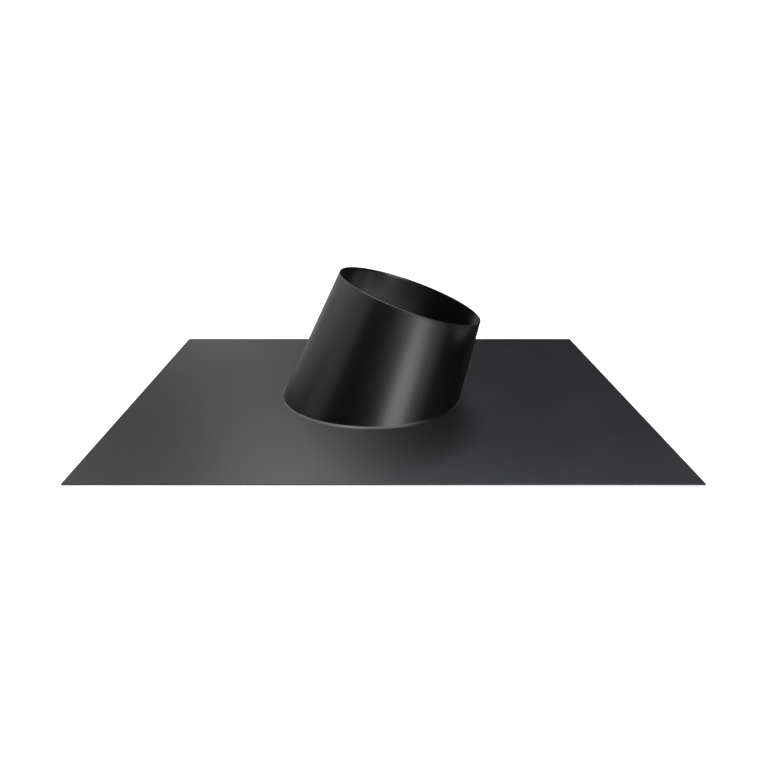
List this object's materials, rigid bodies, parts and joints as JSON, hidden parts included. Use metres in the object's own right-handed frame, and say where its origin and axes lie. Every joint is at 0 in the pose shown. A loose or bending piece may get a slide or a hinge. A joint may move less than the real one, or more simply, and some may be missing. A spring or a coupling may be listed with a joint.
{
  "type": "chimney roof flashing",
  "caption": "Flat rectangular roof plate with a leaning conical collar welded over its oval opening, for a round flue that stands plumb in a pitched roof.",
  "frame": {"origin": "middle of the plate's underside", "axes": "+X up the roof slope, the way the collar leans; +Y across the slope; +Z out of the roof, square to the plate"},
  "size_m": [0.8, 0.6, 0.2057],
  "materials": {
    "plate_coat": "satin black powder coat",
    "collar_coat": "satin black powder coat",
    "foot_weld_coat": "satin black powder coat over a weld bead",
    "seam_weld_coat": "satin black powder coat over a weld bead"
  },
  "bodies": {
    "root": {"base_plate": "plate_coat", "collar": "collar_coat", "foot_weld": "foot_weld_coat", "seam_weld": "seam_weld_coat"}
  },
  "joints": []
}
